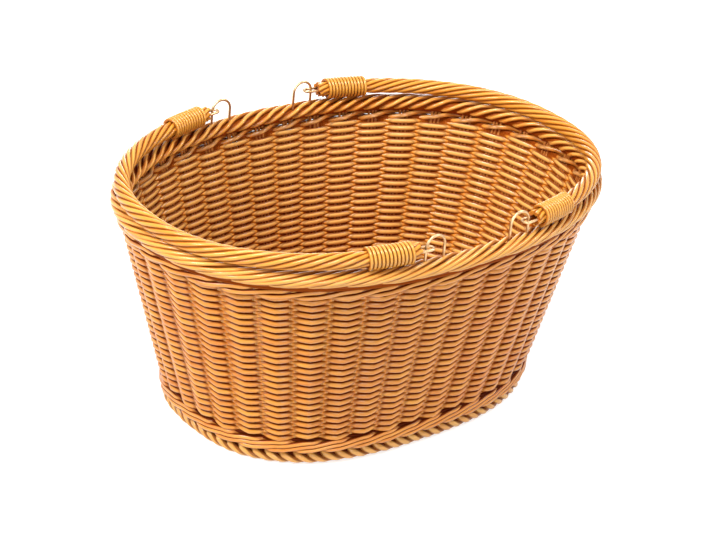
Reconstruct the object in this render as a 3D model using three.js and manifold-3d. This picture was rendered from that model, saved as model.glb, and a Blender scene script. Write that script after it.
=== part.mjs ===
import * as THREE from 'three';
import { mergeVertices } from 'three/addons/utils/BufferGeometryUtils.js';
import Module from 'manifold-3d';

// Oval harvest basket of woven round cane with two drop handles on wire hoops.
// Millimetres, +Z up, +X along the basket, origin under its middle on the floor.

// Plan of the rim and of the foot, outside to outside; squareness 2 is an ellipse
const RIM_LENGTH = 450;
const RIM_WIDTH = 323.6;
const RIM_SQUARENESS = 2.23;
const FOOT_LENGTH = 336;
const FOOT_WIDTH = 238;
const FOOT_SQUARENESS = 2.54;

// Borders and bands of the wall, from the floor up
const FOOT_THICKNESS = 14;
const FOOT_HEIGHT = 13.5;
const LOWER_WALE_HEIGHT = 12;
const SIDE_WEAVE_HEIGHT = 152;
const UPPER_WALE_HEIGHT = 8.8;
const RIM_THICKNESS = 18;
const RIM_HEIGHT = 13;
const WALL_THICKNESS = 10;
const GROOVE_THICKNESS = 4.8;
const COLUMN_SHARE = 0.42;
const BORDER_FULLNESS = 3;

// Stakes: each is a pair of canes, drawn as one flat bar
const STAKE_COUNT = 40;
const STAKE_WIDTH = 7.2;
const STAKE_DEPTH = 4;
const STAKE_IN_RIM = 4;

// Base: woven oval on crossed sticks, let into each other, whose tips sit between the stakes
const BASE_THICKNESS = 9;
const STICK_DIAMETER = 3.4;
const STICK_LET_IN = 0.8;
const STICK_IN_WALL = 3.6;
const LONG_STICKS = 2;
const SHORT_STICKS = 14;

// Wire hoops with a leg beside each of two stakes, and the wire that runs through each handle
const HOOP_WIRE = 2.4;
const HOOP_RADIUS = 9.5;
const HOOP_LEG_IN_WALE = 6.5;
const STAKES_TO_HINGE = 1.5;
const CORE_WIRE = 2.4;
const EYE_CLEARANCE = 1;
const EYE_REACH = 7.6;
const EYE_SPREAD_START = 40;
const EYE_SPREAD_END = 24;
const EYE_TAIL = 15;

// Handles: twisted cane rope, drawn in under a cane binding at each end
const ROPE_DIAMETER = 14;
const BOUND_ROPE_DIAMETER = 12.8;
const ROPE_TAPER = 4;
const STRAND_DIAMETER = 4;
const STRAND_END_LENGTH = 6.5;
const STRAND_END_STEP = 1.5;
const STRAND_END_ROOT = 1;
const HOOP_TO_STRAND_ENDS = 4.1;
const BINDING_STRAND = 2.6;
const BINDING_PITCH = 3.2;
const BINDING_TURNS = 12;
const BINDING_INSET = 1.5;
const BINDING_LIFT = 0.5;
const TUCK_BEND = 2;

// Clearances
const SEAT = 0.3;
const SOCKET_CLEARANCE = 0.3;

// Steps of the faceted surfaces
const PLAN_STEPS = 48;
const RIM_SIDES = 10;
const FOOT_SIDES = 8;
const ROPE_SIDES = 10;
const ROPE_STEP = 20;
const WIRE_SIDES = 5;
const STICK_SIDES = 5;
const BEND_STEPS = 8;
const SPREAD_STEPS = 4;
const BOUND_STEPS = 4;
const BINDING_SIDES = 5;
const BINDING_STEPS = 10;
const TUCK_STEPS = 4;
const ARC_SAMPLES = 1440;

// A wound strand's points closer along it than this many diameters are one bend
const BEND_DIAMETERS = 4;

// Heights that follow from the sizes
const lowerWaleBottom = FOOT_HEIGHT + SEAT;
const lowerWaleTop = lowerWaleBottom + LOWER_WALE_HEIGHT;
const sideWeaveBottom = lowerWaleTop + SEAT;
const sideWeaveTop = sideWeaveBottom + SIDE_WEAVE_HEIGHT;
const upperWaleBottom = sideWeaveTop + SEAT;
const upperWaleTop = upperWaleBottom + UPPER_WALE_HEIGHT;
const rimBottom = upperWaleTop + SEAT;
const rimTop = rimBottom + RIM_HEIGHT;
const footMiddle = FOOT_HEIGHT / 2;
const rimMiddle = rimBottom + RIM_HEIGHT / 2;

const cane = new THREE.Color(0xcf8f45);
const caneShade = new THREE.Color(0xb8742f);
const caneInside = new THREE.Color(0x9a5a26);
const caneLight = new THREE.Color(0xe0a75c);
const wireGrey = new THREE.Color(0x8f887a);

// Closed surface through rows of points; a ring joins its last row to its first
function loft(rows, ring = false) {
  const count = rows[0].length;
  const positions = rows.flat().flatMap((point) => point.toArray());
  const triangles = [];
  const spans = ring ? rows.length : rows.length - 1;
  for (let row = 0; row < spans; row += 1) {
    const here = row * count;
    const next = ((row + 1) % rows.length) * count;
    for (let side = 0; side < count; side += 1) {
      const beside = (side + 1) % count;
      triangles.push([here + side, next + side, next + beside]);
      triangles.push([here + side, next + beside, here + beside]);
    }
  }
  if (!ring) {
    const last = (rows.length - 1) * count;
    for (let side = 1; side < count - 1; side += 1) {
      triangles.push([0, side, side + 1]);
      triangles.push([last, last + side + 1, last + side]);
    }
  }
  return outward(positions, triangles);
}

// Geometry of a closed surface, turned so that its faces point out
function outward(positions, triangles) {
  const corner = (index) => new THREE.Vector3().fromArray(positions, 3 * index);
  let volume = 0;
  for (const [a, b, c] of triangles) {
    volume += corner(a).dot(corner(b).cross(corner(c)));
  }
  const turned = volume < 0 ? triangles.map(([a, b, c]) => [a, c, b]) : triangles;
  const geometry = new THREE.BufferGeometry();
  geometry.setAttribute('position', new THREE.Float32BufferAttribute(positions, 3));
  geometry.setIndex(turned.flat());
  geometry.computeVertexNormals();
  return geometry;
}

const library = await Module();
library.setup();

function toSolid(geometry) {
  const bare = geometry.clone();
  bare.deleteAttribute('normal');
  const merged = mergeVertices(bare);
  const mesh = new library.Mesh({
    numProp: 3,
    vertProperties: new Float32Array(merged.getAttribute('position').array),
    triVerts: new Uint32Array(merged.getIndex().array),
  });
  return new library.Manifold(mesh);
}

function toGeometry(solid) {
  const mesh = solid.getMesh();
  const geometry = new THREE.BufferGeometry();
  const positions = new THREE.Float32BufferAttribute(mesh.vertProperties, 3);
  geometry.setAttribute('position', positions);
  geometry.setIndex([...mesh.triVerts]);
  geometry.computeVertexNormals();
  return geometry;
}

function join([first, ...others]) {
  return toGeometry(others.reduce((solid, other) => solid.add(toSolid(other)), toSolid(first)));
}

function cut(geometry, tools) {
  return toGeometry(tools.reduce((solid, tool) => solid.subtract(toSolid(tool)), toSolid(geometry)));
}

// Round tube along points, its section carried along without twist
function tube(points, radius, sides) {
  const radiusAt = typeof radius === 'function' ? radius : () => radius;
  const last = points.length - 1;
  const headings = points.map((point, i) => {
    const ahead = points[Math.min(i + 1, last)];
    const behind = points[Math.max(i - 1, 0)];
    return ahead.clone().sub(behind).normalize();
  });
  const level = Math.abs(headings[0].z) < Math.SQRT1_2;
  const reference = level ? new THREE.Vector3(0, 0, 1) : new THREE.Vector3(1, 0, 0);
  const across = reference.cross(headings[0]).normalize();
  const rows = points.map((point, i) => {
    if (i > 0) {
      const turn = new THREE.Quaternion().setFromUnitVectors(headings[i - 1], headings[i]);
      across.applyQuaternion(turn).normalize();
    }
    const up = headings[i].clone().cross(across);
    return roundSection(sides).map(([a, b]) => point.clone()
      .addScaledVector(across, a * radiusAt(i))
      .addScaledVector(up, b * radiusAt(i)));
  });
  return loft(rows);
}

function roundSection(sides) {
  return Array.from({ length: sides }, (_, i) => {
    const angle = (2 * Math.PI * (i + 0.5)) / sides;
    return [Math.cos(angle), Math.sin(angle)];
  });
}

// Straight rod from one point to another
const rod = (from, to, diameter, sides = WIRE_SIDES) => tube([from, to], diameter / 2, sides);

// Points of a smooth run between two values, both ends included
const steps = (from, to, count) => Array.from(
  { length: count + 1 },
  (_, i) => from + ((to - from) * i) / count,
);

// Oval plan: the angle is the parameter that foot, wall, rim and handles share
const footOval = {
  halfLength: (FOOT_LENGTH - FOOT_THICKNESS) / 2,
  halfWidth: (FOOT_WIDTH - FOOT_THICKNESS) / 2,
  squareness: FOOT_SQUARENESS,
};
const rimOval = {
  halfLength: (RIM_LENGTH - RIM_THICKNESS) / 2,
  halfWidth: (RIM_WIDTH - RIM_THICKNESS) / 2,
  squareness: RIM_SQUARENESS,
};

function ovalPoint(oval, angle, z) {
  const c = Math.cos(angle);
  const s = Math.sin(angle);
  const n = oval.squareness;
  const reach = (Math.abs(c) ** n + Math.abs(s) ** n) ** (-1 / n);
  return new THREE.Vector3(oval.halfLength * reach * c, oval.halfWidth * reach * s, z);
}

// Table of length along the rim's centre line, for even spacing
const rimArc = [0];
for (let i = 1; i <= ARC_SAMPLES; i += 1) {
  const before = ovalPoint(rimOval, (2 * Math.PI * (i - 1)) / ARC_SAMPLES, 0);
  const after = ovalPoint(rimOval, (2 * Math.PI * i) / ARC_SAMPLES, 0);
  rimArc.push(rimArc[i - 1] + before.distanceTo(after));
}
const rimPerimeter = rimArc[ARC_SAMPLES];
const stakeSpacing = rimPerimeter / STAKE_COUNT;

// Angle of the point that lies a given length round the rim from the +X end
function angleAt(length) {
  const wrapped = ((length % rimPerimeter) + rimPerimeter) % rimPerimeter;
  const after = Math.max(1, rimArc.findIndex((arc) => arc >= wrapped));
  const share = (wrapped - rimArc[after - 1]) / (rimArc[after] - rimArc[after - 1]);
  return (2 * Math.PI * (after - 1 + share)) / ARC_SAMPLES;
}

// Middle of the wall: straight lines from the foot's centre line to the rim's
function wallMiddle(angle, z) {
  const share = (z - footMiddle) / (rimMiddle - footMiddle);
  const foot = ovalPoint(footOval, angle, z);
  const rim = ovalPoint(rimOval, angle, z);
  return foot.lerp(rim, share);
}

// Level directions along and out of a closed line that an angle runs round
function levelFrame(lineAt, angle) {
  const span = 0.001;
  const along = lineAt(angle + span).sub(lineAt(angle - span)).setZ(0).normalize();
  const out = new THREE.Vector3(along.y, -along.x, 0);
  return { along, out };
}

function wallPoint(angle, z, outset) {
  const { out } = levelFrame((at) => wallMiddle(at, z), angle);
  return wallMiddle(angle, z).addScaledVector(out, outset);
}

const planAngles = Array.from(
  { length: PLAN_STEPS },
  (_, i) => angleAt((rimPerimeter * i) / PLAN_STEPS),
);
const stakeAngles = Array.from(
  { length: STAKE_COUNT },
  (_, i) => angleAt(stakeSpacing * i),
);

// Rolled border: a ring of full oval section, flat on top and below, round an oval centre line
function border(oval, thickness, height, middle, sides) {
  const swell = (value) => Math.sign(value) * Math.abs(value) ** (2 / BORDER_FULLNESS);
  const halfSide = Math.PI / sides;
  const flat = Math.cos(halfSide);
  const section = Array.from({ length: sides }, (_, i) => {
    const angle = Math.PI / 2 + halfSide * (2 * i + 1);
    return [swell(Math.cos(angle)), swell(Math.sin(angle) / flat)];
  });
  const widest = Math.max(...section.map(([a]) => a));
  const rows = planAngles.map((angle) => {
    const { out } = levelFrame((at) => ovalPoint(oval, at, 0), angle);
    return section.map(([a, b]) => ovalPoint(oval, angle, middle + (b * height) / 2)
      .addScaledVector(out, (a * thickness) / 2 / widest));
  });
  return loft(rows, true);
}

// Plan of the wall's faces: even round the walings, and woven between them, where it is full
// at each stake and drawn in to a groove midway between two
const evenWall = planAngles.map((angle) => ({ angle, half: WALL_THICKNESS / 2 }));
const wovenWall = stakeAngles.flatMap((_, i) => [
  { angle: angleAt(stakeSpacing * (i - COLUMN_SHARE / 2)), half: WALL_THICKNESS / 2 },
  { angle: angleAt(stakeSpacing * (i + COLUMN_SHARE / 2)), half: WALL_THICKNESS / 2 },
  { angle: angleAt(stakeSpacing * (i + 0.5)), half: GROOVE_THICKNESS / 2 },
]);

// Band of the wall between two heights, with a channel for every stake
function band(bottom, top, wall = evenWall) {
  const depth = STAKE_DEPTH / 2 + SOCKET_CLEARANCE;
  const width = STAKE_WIDTH / 2 + SOCKET_CLEARANCE;
  const loopsAt = (z) => [
    wall.map(({ angle, half }) => wallPoint(angle, z, half)),
    wall.map(({ angle, half }) => wallPoint(angle, z, -half)),
    ...stakeAngles.map((angle) => barCorners(angle, z, depth, width)),
  ];
  const faces = [bottom, top].map(loopsAt);
  const points = faces.map((loops) => loops.flat());
  const onTop = points[0].length;
  const [below, above] = faces.map(([outline, ...holes]) => levelTriangles(outline, holes));
  const triangles = [
    ...below.map(([a, b, c]) => [a, c, b]),
    ...above.map((corners) => corners.map((corner) => corner + onTop)),
  ];
  let first = 0;
  faces[0].forEach((loop, which) => {
    loop.forEach((_, i) => {
      const here = first + i;
      const beside = first + ((i + 1) % loop.length);
      const [start, end] = which === 0 ? [here, beside] : [beside, here];
      triangles.push([start, end, end + onTop], [start, end + onTop, start + onTop]);
    });
    first += loop.length;
  });
  return outward(points.flat().flatMap((point) => point.toArray()), triangles);
}

// Triangles of a level face with holes, all turned to face up
function levelTriangles(outline, holes) {
  const flat = (loop) => loop.map((point) => new THREE.Vector2(point.x, point.y));
  const corners = [outline, ...holes].flatMap(flat);
  return THREE.ShapeUtils.triangulateShape(flat(outline), holes.map(flat)).map(([a, b, c]) => {
    const turn = THREE.ShapeUtils.area([corners[a], corners[b], corners[c]]);
    return turn < 0 ? [a, c, b] : [a, b, c];
  });
}

// Level corners of a flat bar in the middle of the wall, squared to the rim above it
function barCorners(angle, z, depth, width) {
  const { along, out } = levelFrame((at) => ovalPoint(rimOval, at, z), angle);
  const corner = (outset, aside) => wallMiddle(angle, z)
    .addScaledVector(out, outset)
    .addScaledVector(along, aside);
  return [
    corner(-depth, -width),
    corner(depth, -width),
    corner(depth, width),
    corner(-depth, width),
  ];
}

// Flat bar between two heights: a stake, or the socket that holds its end
function stakeBar(angle, bottom, top, clearance = 0) {
  const depth = STAKE_DEPTH / 2 + clearance;
  const width = STAKE_WIDTH / 2 + clearance;
  return loft([bottom, top].map((z) => barCorners(angle, z, depth, width)));
}

const stakeTop = rimBottom + STAKE_IN_RIM;
const rimSockets = stakeAngles.map(
  (angle) => stakeBar(angle, rimBottom - SEAT, stakeTop + SOCKET_CLEARANCE, SOCKET_CLEARANCE),
);

// Base sticks cross in two layers, their tips between the stakes; together they are the slath
const baseBottom = FOOT_HEIGHT + SEAT;
const baseTop = baseBottom + BASE_THICKNESS;
const stickRise = (STICK_DIAMETER - STICK_LET_IN) / 2;
const baseMiddle = (baseBottom + baseTop) / 2;
const longStickHeight = baseMiddle - stickRise;
const shortStickHeight = baseMiddle + stickRise;
const wallFaceToTip = STICK_IN_WALL - WALL_THICKNESS / 2;

function baseStick(fromLength, toLength, z, diameter, beyond = 0) {
  const from = wallMiddle(angleAt(fromLength), z);
  const to = wallMiddle(angleAt(toLength), z);
  const heading = to.clone().sub(from).normalize();
  const tip = beyond + wallFaceToTip;
  from.addScaledVector(heading, -tip);
  to.addScaledVector(heading, tip);
  return rod(from, to, diameter, STICK_SIDES);
}

// An even count of sticks, each midway between two stakes
const sticksOf = (count, make) => Array.from(
  { length: count },
  (_, i) => make((i - (count - 1) / 2) * stakeSpacing),
);
const longSticks = (diameter, beyond) => sticksOf(LONG_STICKS, (length) => baseStick(
  rimPerimeter / 2 - length,
  length,
  longStickHeight,
  diameter,
  beyond,
));
const shortSticks = (diameter, beyond) => sticksOf(SHORT_STICKS, (length) => baseStick(
  (3 * rimPerimeter) / 4 - length,
  rimPerimeter / 4 + length,
  shortStickHeight,
  diameter,
  beyond,
));
const allSticks = (clearance) => [
  ...longSticks(STICK_DIAMETER + 2 * clearance, clearance),
  ...shortSticks(STICK_DIAMETER + 2 * clearance, clearance),
];
const stickSockets = allSticks(SOCKET_CLEARANCE);

function basePlate() {
  const inset = -WALL_THICKNESS / 2 - SEAT;
  const rows = [baseBottom, baseTop].map((z) => planAngles.map(
    (angle) => wallPoint(angle, z, inset),
  ));
  return loft(rows);
}

// Hinges: the hoops stand on the rim's centre line, midway between two stakes
const quarter = rimPerimeter / 4;
const hingeX = ovalPoint(rimOval, angleAt(quarter - STAKES_TO_HINGE * stakeSpacing), 0).x;
const eyeOffset = (HOOP_WIRE + CORE_WIRE) / 2 + EYE_CLEARANCE;

// Length round the rim from the +X end to the point at a given x
function lengthToX(x) {
  const index = rimArc.findIndex(
    (_, i) => ovalPoint(rimOval, (2 * Math.PI * i) / ARC_SAMPLES, 0).x <= x,
  );
  const samples = [index - 1, index].map(
    (i) => ovalPoint(rimOval, (2 * Math.PI * i) / ARC_SAMPLES, 0).x,
  );
  const share = (samples[0] - x) / (samples[0] - samples[1]);
  return rimArc[index - 1] + share * (rimArc[index] - rimArc[index - 1]);
}

// Handle centre line, flat in its own frame: x from the hinge line, z from its height
const handleHalf = lengthToX(hingeX + HOOP_RADIUS + HOOP_WIRE / 2 + HOOP_TO_STRAND_ENDS);
const hingeY = ovalPoint(rimOval, angleAt(lengthToX(hingeX + HOOP_RADIUS)), 0).y;

function handlePoint(length, aside = 0, up = 0) {
  const held = THREE.MathUtils.clamp(length, -handleHalf, handleHalf);
  const angle = angleAt(held);
  const { along, out } = levelFrame((at) => ovalPoint(rimOval, at, 0), angle);
  return ovalPoint(rimOval, angle, up)
    .addScaledVector(along, length - held)
    .addScaledVector(out, aside)
    .add(new THREE.Vector3(-hingeX, 0, 0));
}

// Lengths along the handle that both of its ends share
const ropeEnd = handleHalf - STRAND_END_LENGTH;
const bindingStart = ropeEnd - BINDING_INSET - BINDING_STRAND / 2;
const bindingEnd = bindingStart - BINDING_TURNS * BINDING_PITCH;
const boundEnd = bindingEnd - BINDING_STRAND;
const windingRadius = BOUND_ROPE_DIAMETER / 2 + BINDING_LIFT + BINDING_STRAND / 2;
const bindingRadius = windingRadius + BINDING_STRAND / 2;

// The handle tips a little past level until its rope and its bindings both rest on the rim
const ropeReach = handlePoint(0).x;
const bindingReach = handlePoint(bindingEnd).x;
const restSlope = (bindingRadius - ROPE_DIAMETER / 2) / (ropeReach - bindingReach);
const restTilt = Math.asin(restSlope);
const hingeZ = rimTop + SEAT + bindingRadius + bindingReach * restSlope;

function hoopPath(side, face) {
  const bottom = upperWaleTop - HOOP_LEG_IN_WALE;
  const at = (dx, z) => new THREE.Vector3(side * hingeX + dx, face * hingeY, z);
  const arch = steps(0, Math.PI, BEND_STEPS).map(
    (turn) => at(HOOP_RADIUS * Math.cos(turn), hingeZ + HOOP_RADIUS * Math.sin(turn)),
  );
  return [at(HOOP_RADIUS, bottom), ...arch, at(-HOOP_RADIUS, bottom)];
}

const hoopPlaces = [
  ['front_left', -1, -1],
  ['front_right', 1, -1],
  ['back_left', -1, 1],
  ['back_right', 1, 1],
];
const hoopHoles = hoopPlaces.flatMap(([, side, face]) => [-1, 1].map((leg) => {
  const at = (z) => new THREE.Vector3(side * hingeX + leg * HOOP_RADIUS, face * hingeY, z);
  const bottom = upperWaleTop - HOOP_LEG_IN_WALE - SOCKET_CLEARANCE;
  return rod(at(bottom), at(rimTop + SEAT), HOOP_WIRE + 2 * SOCKET_CLEARANCE);
}));

// Wire through the rope, spread at each end, bent round the hoop's leg and back beside itself
function wirePath(tailEnd) {
  const eyeCentre = handleHalf + HOOP_TO_STRAND_ENDS + HOOP_WIRE / 2
    + EYE_REACH - eyeOffset - CORE_WIRE / 2;
  const spreadStart = handleHalf - EYE_SPREAD_START;
  const spreadEnd = handleHalf - EYE_SPREAD_END;
  const middleSteps = Math.ceil(spreadStart / ROPE_STEP);
  const middle = steps(0, spreadStart, middleSteps).map((length) => [length, 0]);
  const spread = steps(0, 1, SPREAD_STEPS).slice(1).map((share) => [
    spreadStart + (spreadEnd - spreadStart) * share,
    eyeOffset * THREE.MathUtils.smoothstep(share, 0, 1),
  ]);
  const bend = steps(0, Math.PI, BEND_STEPS).map((turn) => [
    eyeCentre + eyeOffset * Math.sin(turn),
    eyeOffset * Math.cos(turn),
  ]);
  const tail = [handleHalf, tailEnd].map((length) => [length, -eyeOffset]);
  const front = [...middle, ...spread, [handleHalf, eyeOffset], ...bend, ...tail];
  const back = front.slice(1).reverse().map(([length, aside]) => [-length, aside]);
  return [...back, ...front].map(([length, aside]) => handlePoint(length, aside));
}

const wireTail = handleHalf - EYE_TAIL;

// One binding strand: tucked into the rope, wound along it, and tucked in again
function bindingPath(end, perTurn) {
  const at = (length, radius, angle) => handlePoint(
    end * length,
    radius * Math.cos(angle),
    radius * Math.sin(angle),
  );
  const bendCentre = windingRadius - TUCK_BEND;
  const lead = Math.asin(TUCK_BEND / bendCentre);
  const below = -Math.PI / 2;
  const bendMiddle = below - lead;
  const tuck = (length, hand) => {
    const bend = steps(0, Math.PI / 2 + lead, TUCK_STEPS).map((turn) => {
      const inward = TUCK_BEND * Math.cos(turn) + bendCentre;
      const onward = TUCK_BEND * Math.sin(turn);
      const angle = below + hand * (bendMiddle - below + Math.atan2(onward, inward));
      return at(length, Math.hypot(inward, onward), angle);
    });
    const seat = bendCentre * Math.cos(lead);
    return [...bend, at(length, seat - BINDING_STRAND, below)];
  };
  const first = below + lead;
  const whole = 2 * Math.PI * BINDING_TURNS - 2 * lead;
  const winding = steps(0, 1, BINDING_TURNS * perTurn).map((share) => at(
    bindingStart + (bindingEnd - bindingStart) * share,
    windingRadius,
    first + whole * share,
  ));
  const tuckIn = tuck(bindingStart, -1).reverse();
  const tuckOut = tuck(bindingEnd, 1);
  return { tuckIn, tuckOut, points: [...tuckIn, ...winding.slice(1, -1), ...tuckOut] };
}

// Least gap of a wound strand to itself, between points further apart along it than a bend
function leastGap(points, diameter) {
  const along = [0];
  for (let i = 1; i < points.length; i += 1) {
    along.push(along[i - 1] + points[i].distanceTo(points[i - 1]));
  }
  let least = Infinity;
  for (let i = 0; i < points.length; i += 1) {
    for (let j = i + 1; j < points.length; j += 1) {
      if (along[j] - along[i] > BEND_DIAMETERS * diameter) {
        least = Math.min(least, points[i].distanceTo(points[j]) - diameter);
      }
    }
  }
  return least;
}

// Rope with its bore, the holes for the tucked strand ends, and cut strands past each binding
function ropeGeometry() {
  const freeEnd = boundEnd - ROPE_TAPER;
  const boundSteps = steps(boundEnd, ropeEnd, BOUND_STEPS);
  const middle = steps(-freeEnd, freeEnd, Math.ceil((2 * freeEnd) / ROPE_STEP));
  const lengths = [...boundSteps.map((length) => -length).reverse(), ...middle, ...boundSteps];
  const radii = lengths.map((length) => (Math.abs(length) > freeEnd
    ? BOUND_ROPE_DIAMETER
    : ROPE_DIAMETER) / 2);
  const body = tube(lengths.map((length) => handlePoint(length)), (i) => radii[i], ROPE_SIDES);
  const strandUp = (STRAND_DIAMETER + CORE_WIRE) / 2 + SEAT;
  const strandAside = STRAND_DIAMETER / 2 + SEAT;
  const strandEnds = [-1, 1].flatMap((end) => [-1, 1].flatMap((up) => [-1, 1].map((aside) => {
    const length = handleHalf - (up < 0 ? STRAND_END_STEP : 0);
    const at = (reach) => handlePoint(end * reach, aside * strandAside, up * strandUp);
    return rod(at(ropeEnd - STRAND_END_ROOT), at(length), STRAND_DIAMETER);
  })));
  const bore = tube(
    wirePath(wireTail - SOCKET_CLEARANCE),
    CORE_WIRE / 2 + SOCKET_CLEARANCE,
    WIRE_SIDES,
  );
  const tucks = [-1, 1].flatMap((end) => {
    const { tuckIn, tuckOut } = bindingPath(end, BINDING_STEPS);
    return [[...tuckIn].reverse(), tuckOut].map((points) => {
      const tip = points[points.length - 1];
      const deeper = tip.clone().sub(points[points.length - 2]).setLength(SOCKET_CLEARANCE);
      const path = [...points.slice(0, -1), tip.clone().add(deeper)];
      return tube(path, BINDING_STRAND / 2 + SOCKET_CLEARANCE, BINDING_SIDES);
    });
  });
  return cut(join([body, ...strandEnds]), [bore, ...tucks]);
}

function piece(name, geometry, color, roughness = 0.55, metalness = 0) {
  const material = new THREE.MeshStandardMaterial({ color, roughness, metalness });
  const mesh = new THREE.Mesh(geometry, material);
  mesh.name = name;
  return mesh;
}

// A handle is the same each side, turned half round about the upright
function handle(name, side) {
  const parts = new THREE.Group();
  parts.position.set(side * hingeX, 0, hingeZ);
  parts.rotation.set(0, side * restTilt, side < 0 ? Math.PI : 0);
  const wire = tube(wirePath(wireTail), CORE_WIRE / 2, WIRE_SIDES);
  parts.add(piece(`core_wire_${name}`, wire, wireGrey, 0.35, 1));
  parts.add(piece(`rope_${name}`, ropeGeometry(), cane));
  for (const face of [-1, 1]) {
    const { points } = bindingPath(side * face, BINDING_STEPS);
    const place = face < 0 ? 'front' : 'back';
    const winding = tube(points, BINDING_STRAND / 2, BINDING_SIDES);
    parts.add(piece(`binding_${place}_${name}`, winding, caneLight));
  }
  return parts;
}

function basket() {
  const parts = new THREE.Group();
  const foot = border(footOval, FOOT_THICKNESS, FOOT_HEIGHT, footMiddle, FOOT_SIDES);
  const rim = border(rimOval, RIM_THICKNESS, RIM_HEIGHT, rimMiddle, RIM_SIDES);
  const lowerWale = band(lowerWaleBottom, lowerWaleTop);
  const upperWale = band(upperWaleBottom, upperWaleTop);
  parts.add(
    piece('base_weave', cut(basePlate(), stickSockets), caneInside),
    piece('base_slath', join(allSticks(0)), caneShade),
    piece('foot_border', foot, cane),
    piece('lower_wale', cut(lowerWale, stickSockets), caneShade),
    piece('side_weave', band(sideWeaveBottom, sideWeaveTop, wovenWall), cane),
    piece('upper_wale', cut(upperWale, hoopHoles), cane),
    piece('rim_border', cut(rim, [...rimSockets, ...hoopHoles]), caneLight),
  );
  stakeAngles.forEach((angle, i) => {
    const name = `stake_${String(i + 1).padStart(2, '0')}`;
    parts.add(piece(name, stakeBar(angle, lowerWaleBottom, stakeTop), caneShade));
  });
  for (const [place, side, face] of hoopPlaces) {
    const hoop = tube(hoopPath(side, face), HOOP_WIRE / 2, WIRE_SIDES);
    parts.add(piece(`hoop_${place}`, hoop, wireGrey, 0.35, 1));
  }
  return parts;
}

const windingGap = leastGap(bindingPath(1, 2 * BINDING_STEPS).points, BINDING_STRAND);
console.log(`binding: ${BINDING_TURNS} turns, least gap to itself ${windingGap.toFixed(2)} mm`);

const harvestBasket = new THREE.Group();
harvestBasket.add(basket(), handle('left', -1), handle('right', 1));

export default harvestBasket;
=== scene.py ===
"""Harvest basket: a woven cane basket with two rope handles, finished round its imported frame."""

import math

import bpy
import numpy as np
from mathutils import Matrix, Vector


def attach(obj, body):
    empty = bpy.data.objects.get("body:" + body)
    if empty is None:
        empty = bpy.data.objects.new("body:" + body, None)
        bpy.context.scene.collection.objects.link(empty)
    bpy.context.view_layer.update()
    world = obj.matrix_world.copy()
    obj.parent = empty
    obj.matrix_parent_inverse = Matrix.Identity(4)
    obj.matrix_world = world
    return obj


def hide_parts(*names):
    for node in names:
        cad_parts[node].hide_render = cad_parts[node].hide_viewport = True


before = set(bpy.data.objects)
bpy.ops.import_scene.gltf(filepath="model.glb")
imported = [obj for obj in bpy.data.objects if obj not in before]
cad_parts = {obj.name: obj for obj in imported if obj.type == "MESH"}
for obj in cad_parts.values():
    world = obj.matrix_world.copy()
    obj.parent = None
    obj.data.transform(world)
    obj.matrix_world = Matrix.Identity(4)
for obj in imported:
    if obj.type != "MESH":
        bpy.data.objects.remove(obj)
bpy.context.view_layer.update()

# Plan of the basket, in metres: half length and half width of each oval, and how square it is
RIM_HALF = (0.2160, 0.1528)
RIM_SQUARENESS = 2.23
FOOT_HALF = (0.1610, 0.1120)
FOOT_SQUARENESS = 2.54

# Heights, and how thick each border is
FOOT_MIDDLE = 0.00675
FOOT_THICKNESS = 0.0140
BASE_MIDDLE = 0.0183
LOWER_WALE_BOTTOM = 0.0138
LOWER_WALE_MIDDLE = 0.0199
SIDE_BOTTOM = 0.0261
SIDE_TOP = 0.1781
UPPER_WALE_MIDDLE = 0.1819
RIM_BOTTOM = 0.1875
RIM_MIDDLE = 0.1940
RIM_HEIGHT = 0.0130
RIM_THICKNESS = 0.0180
WALL_RISE = RIM_MIDDLE - FOOT_MIDDLE
BORDER_FULLNESS = 2.6

# Canes: their radii, how many there are and how far they swing out and in
STAKES = 40
STAKE_CANE = 0.00125
STAKE_ASIDE = 0.0034
STAKE_OUTSET = 0.0008
PACKING_CANE = 0.00095
PACKING_REACH = 0.0142
SIDE_ROWS = 47
LOWER_ROWS = 24
SIDE_CANE = 0.00163
SIDE_SWING_OUT = 0.0037
SIDE_SWING_IN = 0.0021
WALE_CANE = 0.0021
WALE_STEPS = 10
BORDER_CANE = 0.00188
FOOT_CANE = 0.0030
RING_POINTS = 160

# Base: rows of cane over and under the short sticks, which cross the long ones. A stick ends
# midway between two stakes, in the middle of the wall at a rise above the base or below it
BASE_CANE = 0.0020
BASE_PITCH = 0.0037
BASE_SWING = 0.0022
STICK_CANE = 0.0016
SHORT_STICKS = 14
STICK_RISE = 0.0013
SHORT_STICK_HEIGHT = 0.0187
LONG_STICK_HEIGHT = 0.0160

# Handles: the hinge, lengths along a handle from its middle, and what runs round its line
HINGE_X = 0.0445697
HINGE_Y = 0.1496375
HINGE_Z = 0.2116872
REST_TILT = math.radians(1.2993)
HANDLE_HALF = 0.2380271
ROPE_END = HANDLE_HALF - 0.0065
BINDING_TURNS = 12
BINDING_PITCH = 0.0032
BINDING_START = ROPE_END - 0.0028
BINDING_END = BINDING_START - BINDING_TURNS * BINDING_PITCH
BOUND_END = BINDING_END - 0.0026
WINDING_RADIUS = 0.0082
BINDING_CANE = 0.0013
ROPE_STRANDS = 8
ROPE_STRAND = 0.0019
ROPE_RING = 0.0051
BOUND_RING = 0.0045
ROPE_LAY = 0.115
HOOP_RADIUS = 0.0095
HOOP_WIRE = 0.0012
HOOP_LEG_BOTTOM = 0.1807
CORE_WIRE = 0.0012
EYE_OFFSET = 0.0034
EYE_CENTRE = HANDLE_HALF + 0.0083
EYE_SPREAD_START = 0.0400
EYE_SPREAD_END = 0.0240
EYE_TAIL = 0.0150
HEART = 0.0037
BOUND_HEART = 0.0033
BINDING_BEND = 0.002

# A full turn, the bend past which an edge stays sharp, both in radians, and the way up
ROUND = 2 * math.pi
CUT_EDGE = 1.2
UP = np.array([[0.0, 0.0, 1.0]])


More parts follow.
